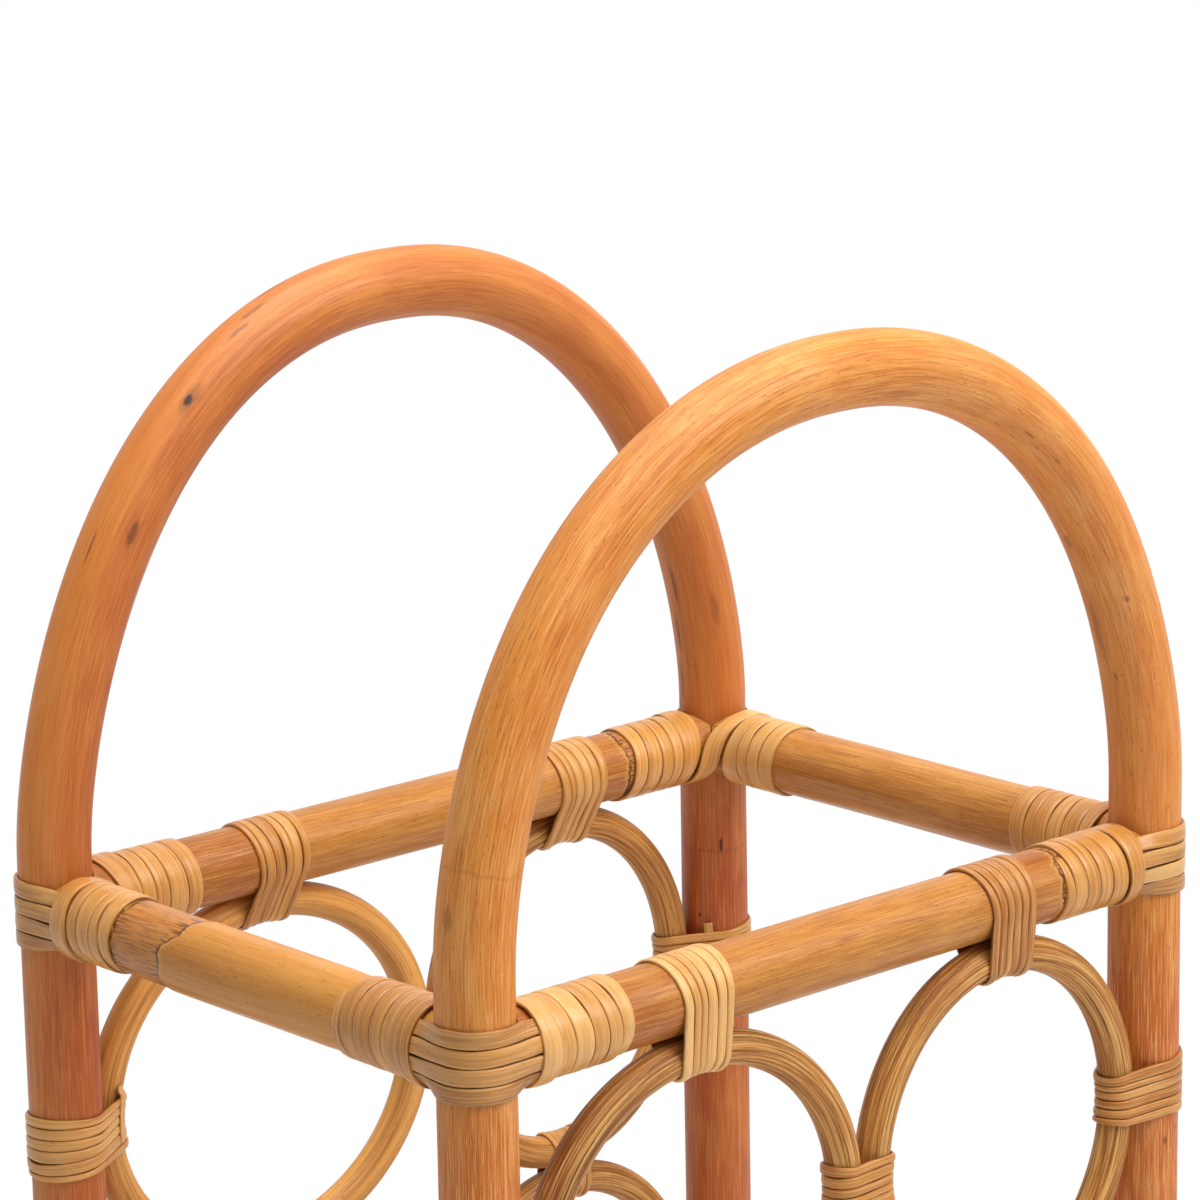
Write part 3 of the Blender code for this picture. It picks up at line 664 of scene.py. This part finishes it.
# Tone of each ring, and how much its right side differs from that
RING_TONES = {("front", 1): (0.40, -0.40), ("front", 2): (0.15, 0.1), ("back", 1): (-0.85, -0.30),
              ("back", 2): (-0.05, -0.2)}


def oval(plane, row, column):
    """Middle and half width of a ring's centre line."""
    node = f"ring_{plane}_{row}_{column}"
    return middle(node), extent(node)[0] / 2 - CANE_RADIUS


def build_ring(plane, row, column):
    """One ring: a round skin on an oval, closed both ways, with uneven sides. Its centre line is
    (half width * sin t, half height * cos t), and its angle turns from the oval's normal to +Y."""
    centre, half_width = oval(plane, row, column)
    seed = 20 + 10 * row + 3 * column + PLANES[plane]
    turn, angle, swell = angles(RING_ROWS).T, angles(RING_POINTS), 0.012
    radius = CANE_RADIUS * (1 + swell * relief(seed, turn, angle, TAU / 4, 4) - swell)
    sine, cosine, zero = np.sin(turn), np.cos(turn), np.zeros_like(turn)
    line = centre + np.hstack([half_width * sine, zero, RING_HALF_HEIGHT * cosine])
    normal = unit(np.hstack([RING_HALF_HEIGHT * sine, zero, half_width * cosine]))
    points, grain = round_skin(line, normal, BACKWARD, radius, angle, turn * RING_HALF_HEIGHT)
    grain[..., 1] += RING_SHIFT * seed
    mean, swing = RING_TONES[plane, column]
    tone = mean + swing * sine + 0.25 * wander(seed, turn, 2.5) + 0 * radius
    skin = skin_of(points, ring=True, grain=grain, tone=tone)
    add_piece(f"ring_{plane}_{row}_{column}", "cane", [skin], "ring_cane")


# Bindings. A corner joint is drawn with its rails on +X and +Y, and is then turned to its corner.

def corner_place(level, quarter):
    """Where a leg's centre line passes the rails of a level."""
    return np.array([HALF_WIDTH * (1 if quarter in (1, 2) else -1),
                     HALF_DEPTH * (1 if quarter in (2, 3) else -1), LEVELS[level]])


# Tones of the two arms of each corner's whip, of the strips of a strap and of single bindings
WHIP_TONES = ((-0.50, 0.55), (0.20, 0.50), (-0.50, 0.0), (-0.10, 0.15))
WHIP_SHORT = {2: 1, 3: 1}        # turns that the first arm of a corner's whip is short of
MIRRORED_WHIP = 2                # the corner whose first arm lies on the other rail
STRAP_TONES = (0.30, -0.05, -0.35, 0.50)
PAIR_TONES = {"binding_rail_top_front_1": -0.55, "binding_rail_top_front_2": 0.95,
              "binding_post_front_1_right": 0.75, "binding_side_front_1_1": 0.35,
              "binding_post_back_1_left": -0.10, "binding_rail_top_back_1": 0.25}
TILT = 0.03                      # how far a strip leans from side to side as it goes round


def build_whip(level, quarter, peel):
    """One strip round both rail ends of a joint: it winds in along one rail, crosses the inner
    corner from the top of that rail to the underside of the other, and winds out along it. The
    angle turns from the top of a rail towards the inner corner."""
    seed = 300 + quarter + 10 * (level == "bottom")
    counts = (peel.whip_turns - WHIP_SHORT.get(quarter, 0), peel.whip_turns)
    start, end = 0.6 - counts[0], counts[1] - 0.1          # in turns from the top of the first rail
    angle = np.linspace(start, end, int((end - start) * WHIP_STEPS)) * TAU
    on_second = smooth(angle / math.pi)
    arms = []
    for arm, turn in enumerate((-angle / TAU, (angle - math.pi) / TAU)):
        turn = np.clip(turn, 0, None)
        low, high = lanes(seed + 5 * arm, turn, peel.whip_pitch, counts[arm], peel.gap)
        # the turn next to the leg is wider at first, so that its edge stays square to the rail
        low = low * smooth((turn - 0.5) / 0.35)
        arms.append((peel.whip_start + (low + high) / 2, high - low))
    (first_along, first_width), (second_along, second_width) = arms
    # the first turn rises over the ends of the straps, which lie on the outer side of the rails
    along = blend(first_along, second_along, on_second)
    over = smooth(1.5 - (along - peel.whip_start) / (5 * MM)) * smooth(0.35 - 1.2 * np.sin(angle))
    radius = RAIL_RADIUS + (SEAT + 0.80 * MM * over + 0.05 * MM * wander(seed, angle, 2.5))
    sine, cosine, zero, share = np.sin(angle), np.cos(angle), np.zeros_like(angle), on_second[:, None]
    inner = blend(np.stack([first_along, radius * sine, radius * cosine], -1),
                  np.stack([radius * sine, second_along, radius * cosine], -1), share)
    outward = unit(blend(np.stack([zero, sine, cosine], -1), np.stack([sine, zero, cosine], -1), share))
    across = unit(blend(np.array([[-1.0, 0, 0]]), BACKWARD, share))
    inner, outward, across = (turned(quarter, vectors, quarter == MIRRORED_WHIP)
                              for vectors in (inner, outward, across))
    tone = tones(seed + 3, angle / TAU, 0.4, 0.20) + np.interp(on_second, (0, 1), WHIP_TONES[quarter])
    skin = strip_skin(inner + corner_place(level, quarter), outward, across,
                      blend(first_width, second_width, on_second),
                      peel.thickness * cut_ends(len(angle), 12), tone, seed % 17,
                      tilt=TILT * wander(seed + 2, angle, 4.0)[:, None])
    add_piece(f"whip_{level}_{CORNERS[quarter]}", "peel", [skin], "peel")


def build_strap(level, quarter, peel):
    """Stacked strips round the outside of a leg: each follows the leg's circle for a quarter turn,
    then runs along both rails and bends from the leg's face on to the roundness of the rail, under
    the first turn of the whip. The bend is a blend of the two faces over 12 mm. A strip draws in
    towards its ends, which lie far round: its height, width and thickness fall with far squared."""
    seed = 500 + quarter + 10 * (level == "bottom")
    rng = np.random.default_rng(seed)
    on_leg, on_rail = POLE_RADIUS + 0.1 * MM, RAIL_RADIUS + 0.08 * MM
    end = peel.whip_start + 0.8 * peel.whip_pitch
    arc = on_leg * math.pi / 2
    place = np.linspace(-end - arc / 2, end + arc / 2, STRAP_ROWS)
    turn = np.clip(place / arc + 0.5, 0, 1) * math.pi / 2
    first, second = np.clip(-place - arc / 2, 0, None), np.clip(place - arc / 2, 0, None)
    bent = smooth((first + second) / (12 * MM))
    outward = np.stack([-np.sin(turn), -np.cos(turn), np.zeros_like(turn)], -1)
    far = np.abs(place) / place.max()
    skins = []
    for strip in range(peel.strap_strips):
        height = (((peel.strap_strips - 1) / 2 - strip) * peel.strap_height * (1 - 0.08 * far ** 2)
                  + 0.12 * MM * wander(seed + strip, place, 0.02))
        lean = height / on_rail
        offset = blend(on_leg, on_rail * np.cos(lean), bent)
        rise = blend(height, on_rail * np.sin(lean), bent)
        inner = np.stack([first, second, rise], -1) + offset[:, None] * outward
        lean = (lean * bent + rng.uniform(-0.04, 0.04))[:, None]
        facing = np.cos(lean) * outward + np.sin(lean) * UP
        across = np.cos(lean) * UP - np.sin(lean) * outward
        width = (peel.strap_height - peel.gap * rng.uniform(0.4, 2.5)) * (1 - 0.10 * far ** 2)
        tone = STRAP_TONES[strip] + rng.uniform(-0.25, 0.25) + 0.15 * wander(seed + 9, place, 0.03)
        inner, facing, across = (turned(quarter, vectors) for vectors in (inner, facing, across))
        skins.append(strip_skin(inner + corner_place(level, quarter), facing, across, width,
                                peel.strap_thickness * (1 - 0.35 * far ** 2), tone,
                                seed % 13 + 3 * strip))
    add_piece(f"strap_{level}_{CORNERS[quarter]}", "peel", skins, "strap_peel")


def drop(distance, along, across):
    """How far the bore side of a ring has curved away at a distance along its tangent: an ellipse
    with half axes along the tangent and across it."""
    inner = across - CANE_RADIUS
    return inner * (1 - np.sqrt(1 - (distance / (along - CANE_RADIUS)) ** 2))


def around_pair(share, thick, reach, aside):
    """A point on a band drawn tight round two canes. Share runs from the middle of the thin cane's
    far side, over one tangent, round the thick cane and back over the other tangent. Gives the
    offset towards the thin cane, the offset aside, the angle that the point faces and the part of
    it that is counted from the line between the canes."""
    thin = CANE_RADIUS + SEAT
    apart = np.hypot(reach, aside)
    lean = np.arccos((thick - thin) / apart)
    flat = np.sqrt(apart ** 2 - (thick - thin) ** 2)
    total = 2 * lean * thin + 2 * flat + (TAU - 2 * lean) * thick
    place = (share % 1.0) * total
    first = lean * thin
    second = first + flat
    third = second + (TAU - 2 * lean) * thick
    fourth = third + flat
    zones = [place < first, place < second, place < third, place < fourth]
    facing = np.select(zones, [place / thin, lean, lean + (place - second) / thick, TAU - lean],
                       TAU + (place - total) / thin)
    slide = np.select(zones, [0, (place - first) / flat, 1, 1 - (place - third) / flat], 0)
    radius = thin + (thick - thin) * slide
    angle = facing + np.arctan2(aside, reach)
    return ((1 - slide) * reach + radius * np.cos(angle), (1 - slide) * aside + radius * np.sin(angle),
            angle, facing)


# Loose strips at two bindings of a ring and a leg: share of the way round, the two ends and the width
# in mm, and how many strips it lies over
LOOSE_ENDS = {"binding_post_back_1_left": (0.90, -5.0, 11.5, 3.0, 1.10),
              "binding_post_back_1_right": (0.21, 7.6, 11.0, 2.8, 0.0)}
LOOSE_TONE = -0.2


def build_pair(kind, place, towards, at, ovals, seed, peel):
    """One strip round two canes that touch: it climbs a lane a turn along their common tangent and
    draws together on the far side of the ring. Towards points from the thick cane at a place to the
    thin ring. Ovals holds the half axes, along and across the tangent, of the thin ring, and then of
    the first one where both are rings. The strip's ends lie on the hidden side."""
    node = f"binding_{kind}_{place}"
    cane, pitch, turns = {"rail": (RAIL_RADIUS, peel.rail_pitch, peel.pair_turns),
                          "post": (POLE_RADIUS, peel.post_pitch, peel.pair_turns),
                          "side": (CANE_RADIUS, peel.ring_pitch, peel.pair_turns),
                          "stack": (CANE_RADIUS, peel.ring_pitch, peel.stack_turns)}[kind]
    towards, at = np.array(towards, float), np.array(at)
    axis = np.abs(towards[::-1])
    side = np.cross(axis, towards)
    thick, hidden = cane + SEAT, 0.5 - 0.2 * (towards[0] - towards[2])
    aside = (math.copysign(HALF_DEPTH + SET_OUT, at[1]) - at[1]) * side[1]
    reach = math.sqrt((cane + TOUCH + CANE_RADIUS) ** 2 - aside ** 2)

    def laid(band, height, lift):
        """Points of a strip on its band round the canes, and the way that it faces there."""
        near, beside, angle, height, lift = (values[:, None] for values in (*band, height, lift))
        outward = np.cos(angle) * towards + np.sin(angle) * side
        return at + near * towards + beside * side + height * axis + lift * outward, outward

    turn = np.arange(turns * PAIR_STEPS + 1) / PAIR_STEPS
    low, high = lanes(seed, turn - 0.5, pitch, turns, peel.gap)
    height, width = (low + high - turns * pitch) / 2, high - low
    away = [drop(np.abs(height) + width * 0.3, *axes) for axes in ovals]
    near, beside, angle, facing = around_pair(hidden + turn, thick, reach + sum(away), aside)
    narrow = 1 - 0.24 * (1 + np.cos(facing)) / 2
    lift = 0.04 * MM * (1 + wander(seed + 1, turn, 0.7))
    inner, outward = laid((near - sum(away[1:]), beside, angle), height * narrow, lift)
    tone = tones(seed + 3, turn, 0.0, 0.42) + PAIR_TONES.get(node, 0.0)
    skins = [strip_skin(inner, outward, np.broadcast_to(axis, inner.shape), width * narrow,
                        peel.thickness * cut_ends(len(turn), 12), tone, seed % 19, 1.0,
                        TILT * wander(seed + 2, turn, 0.8)[:, None])]
    if node in LOOSE_ENDS:
        share, start, end, broad, layer = LOOSE_ENDS[node]
        height, same = np.linspace(start, end, LOOSE_ROWS) * MM, np.ones(LOOSE_ROWS)
        band = around_pair(share * same, thick, reach + drop(np.abs(height), *ovals[0]), aside)
        over = smooth((turns * pitch / 2 + 0.6 * MM - np.abs(height)) / (1.2 * MM))
        inner, outward = laid(band[:3], height, layer * peel.thickness * over)
        skins.append(strip_skin(inner, outward, np.cross(axis, outward), broad * MM * same,
                                0.75 * peel.thickness * cut_ends(LOOSE_ROWS, 3), LOOSE_TONE * same,
                                seed % 7, 1.0))
    add_piece(node, "peel", skins, "peel")


# Stage

FLOOR_HALF = 8.0          # half the floor's side
FLOOR_CLEAR = 0.34        # radius of the floor that keeps its own shade and shadow
FLOOR_FADE = 0.60         # radius at which it has faded to the white backdrop
PAPER = (0.82, 0.82, 0.82, 1.0)
WHITE = (1.0, 1.0, 1.0, 1.0)
ROOM_LIGHT = 0.16         # strength of the even light from all round
# Place of each square lamp and its power in watts, the lamps' side and the point that they face
LAMPS = {"Key": ((0.9, -1.6, 1.9), 38), "Top": ((0.1, 0.2, 2.1), 29), "Front": ((-0.3, -0.8, 2.1), 16)}
LAMP_SIDE, LAMP_AIM = 1.3, (0, 0, 0.27)
CAMERA_PLACE = (-0.84944, -0.94729, 0.68733)
CAMERA_TURN = (76.6416, 0.9880, -42.0877)        # degrees about X, Y and Z
CAMERA_LENS, SENSOR_WIDTH = 142.16, 36           # in mm


def link(name, data):
    """An object of the data in the scene."""
    made = bpy.data.objects.new(name, data)
    bpy.context.scene.collection.objects.link(made)
    return made


def seen_directly(add):
    """1 for rays from the camera, mirror rays and rays through glass, and 0 for light rays."""
    seen = add("larger", add("camera ray"), add("mirror ray"))
    return add("larger", seen, add("glass ray"))


def make_floor():
    """Plain pale floor that fades with its distance from the object into a white backdrop."""
    mesh = bpy.data.meshes.new("floor")
    corners = [(FLOOR_HALF * x, FLOOR_HALF * y, 0) for x, y in ((-1, -1), (1, -1), (1, 1), (-1, 1))]
    mesh.from_pydata(corners, [], [(0, 1, 2, 3)])
    floor = link("floor", mesh)
    material = bpy.data.materials.new("Matt_paper_floor")
    material.use_nodes = True
    tree = material.node_tree
    tree.nodes.remove(tree.nodes["Principled BSDF"])
    add = partial(put, tree)
    away = add("vector length", add("place"))
    share = add("product", add("ramp", away, FLOOR_CLEAR, FLOOR_FADE), seen_directly(add))
    mixed = add("mixed shader", share, add("diffuse", PAPER), add("emission", WHITE, 1.0))
    tree.links.new(mixed, tree.nodes["Material Output"].inputs[0])
    mesh.materials.append(material)


def make_light():
    """Soft studio light: a dim even room and large lamps above the front, the top and the right."""
    world = bpy.data.worlds.new("Studio")
    world.use_nodes = True
    tree = world.node_tree
    tree.nodes.remove(tree.nodes["Background"])
    add = partial(put, tree)
    mixed = add("mixed shader", seen_directly(add), add("background", WHITE, ROOM_LIGHT),
                add("background", WHITE, 1.0))
    tree.links.new(mixed, tree.nodes["World Output"].inputs[0])
    bpy.context.scene.world = world
    for name, (place, power) in LAMPS.items():
        lamp = bpy.data.lights.new(name, "AREA")
        lamp.size = LAMP_SIDE
        lamp.energy = power
        x, y, z = np.array(LAMP_AIM) - np.array(place)
        lamp_object = link(name, lamp)
        lamp_object.location = place
        lamp_object.rotation_euler = Euler((math.atan2(math.hypot(x, y), -z), 0,
                                            math.atan2(y, x) - math.pi / 2))


def make_camera():
    """The photograph's view: a long lens that looks down on the near left corner."""
    camera = bpy.data.cameras.new("Camera")
    camera.lens = CAMERA_LENS
    camera.sensor_width = SENSOR_WIDTH
    camera_object = link("Camera", camera)
    camera_object.location = CAMERA_PLACE
    camera_object.rotation_euler = Euler([math.radians(angle) for angle in CAMERA_TURN])
    bpy.context.scene.camera = camera_object
    bpy.context.scene.view_settings.view_transform = "Standard"


# Operators

class BasketFinishes(Operator):
    """Make the lacquered rattan finishes"""
    bl_idname = "basket.finishes"
    bl_label = "Finishes"

    def execute(self, context):
        for slot, (name, look) in FINISHES.items():
            materials[slot] = rattan(name, tuple(getattr(context.scene.basket_colours, slot)), look)
        return {"FINISHED"}


class BasketArches(Operator):
    """Make the two bent poles"""
    bl_idname = "basket.arches"
    bl_label = "Arches"

    def execute(self, context):
        for plane in PLANES:
            build_arch(plane, context.scene.basket_bends)
        return {"FINISHED"}


class BasketRails(Operator):
    """Make the four rails of each level"""
    bl_idname = "basket.rails"
    bl_label = "Rails"

    def execute(self, context):
        for level in LEVELS:
            for side in SIDES:
                build_rail(level, side)
        return {"FINISHED"}


class BasketRings(Operator):
    """Make the bottle rings"""
    bl_idname = "basket.rings"
    bl_label = "Rings"

    def execute(self, context):
        for plane in PLANES:
            for row in ROWS:
                for column in COLUMNS:
                    build_ring(plane, row, column)
        return {"FINISHED"}


class BasketCornerBindings(Operator):
    """Wind the strips round the corners: straps round the legs and whips round the rail ends"""
    bl_idname = "basket.corner_bindings"
    bl_label = "Corner bindings"

    def execute(self, context):
        for level in LEVELS:
            for quarter in range(len(CORNERS)):
                build_strap(level, quarter, context.scene.basket_peel)
                build_whip(level, quarter, context.scene.basket_peel)
        return {"FINISHED"}


class BasketRingBindings(Operator):
    """Wind the strips that tie each ring to its rail, its leg and its neighbours"""
    bl_idname = "basket.ring_bindings"
    bl_label = "Ring bindings"

    def execute(self, context):
        peel = context.scene.basket_peel
        for plane, side in PLANES.items():
            y, ring_y = side * HALF_DEPTH, side * (HALF_DEPTH + SET_OUT)
            for column in COLUMNS:
                (x, _, z), half_width = oval(plane, 1, column)
                flat, seed = (half_width, RING_HALF_HEIGHT), 600 + 3 * column + side
                for kind, place, up, at, ovals in (
                        ("rail", f"top_{plane}", -1, (x, y, LEVELS["top"]), [flat]),
                        ("rail", f"bottom_{plane}", 1, (x, y, LEVELS["bottom"]), [flat]),
                        ("stack", f"{plane}_1", -1, (x, ring_y, z - RING_HALF_HEIGHT), [flat, flat])):
                    build_pair(kind, f"{place}_{column}", (0, 0, up), at, ovals, seed, peel)
                    seed += 20
            for row in ROWS:
                (x, _, z), half_width = oval(plane, row, 1)
                left, right = ((RING_HALF_HEIGHT, oval(plane, row, column)[1]) for column in COLUMNS)
                seed = 670 + 5 * row + side
                for kind, place, aside, at, ovals in (
                        ("post", "left", 1, (-HALF_WIDTH, y, z), [left]),
                        ("post", "right", -1, (HALF_WIDTH, y, z), [right]),
                        ("side", "1", 1, (x + half_width, ring_y, z), [right, left])):
                    build_pair(kind, f"{plane}_{row}_{place}", (aside, 0, 0), at, ovals, seed, peel)
                    seed += 20
        return {"FINISHED"}


class BasketStage(Operator):
    """Set the floor, the soft light and the camera"""
    bl_idname = "basket.stage"
    bl_label = "Stage"

    def execute(self, context):
        make_floor()
        make_light()
        make_camera()
        return {"FINISHED"}


class BasketPanel(Panel):
    """Settings, and a button for each group of pieces"""
    bl_idname = "VIEW3D_PT_basket"
    bl_label = "Rattan bottle basket"
    bl_space_type = "VIEW_3D"
    bl_region_type = "UI"
    bl_category = "Basket"

    def draw(self, context):
        for group in SETTINGS:
            settings, box = getattr(context.scene, group), self.layout.box()
            for name in settings.__annotations__:
                box.prop(settings, name)
        for operator in OPERATORS:
            self.layout.operator(operator.bl_idname)


SETTINGS = {"basket_bends": BasketBends, "basket_peel": BasketPeel, "basket_colours": BasketColours}
OPERATORS = (BasketFinishes, BasketArches, BasketRails, BasketRings, BasketCornerBindings,
             BasketRingBindings, BasketStage)


def register():
    """Add the settings, the operators and the panel to Blender."""
    for name, kind in SETTINGS.items():
        bpy.utils.register_class(kind)
        setattr(bpy.types.Scene, name, PointerProperty(type=kind))
    for kind in OPERATORS + (BasketPanel,):
        bpy.utils.register_class(kind)


def unregister():
    """Take them out again, in the opposite order."""
    for kind in reversed(OPERATORS + (BasketPanel,)):
        bpy.utils.unregister_class(kind)
    for name, kind in reversed(SETTINGS.items()):
        delattr(bpy.types.Scene, name)
        bpy.utils.unregister_class(kind)


def main():
    """Dress the frame in order."""
    register()
    for operator in OPERATORS:
        group, action = operator.bl_idname.split(".")
        getattr(getattr(bpy.ops, group), action)()
    bpy.context.view_layer.update()


if __name__ == "__main__":
    main()
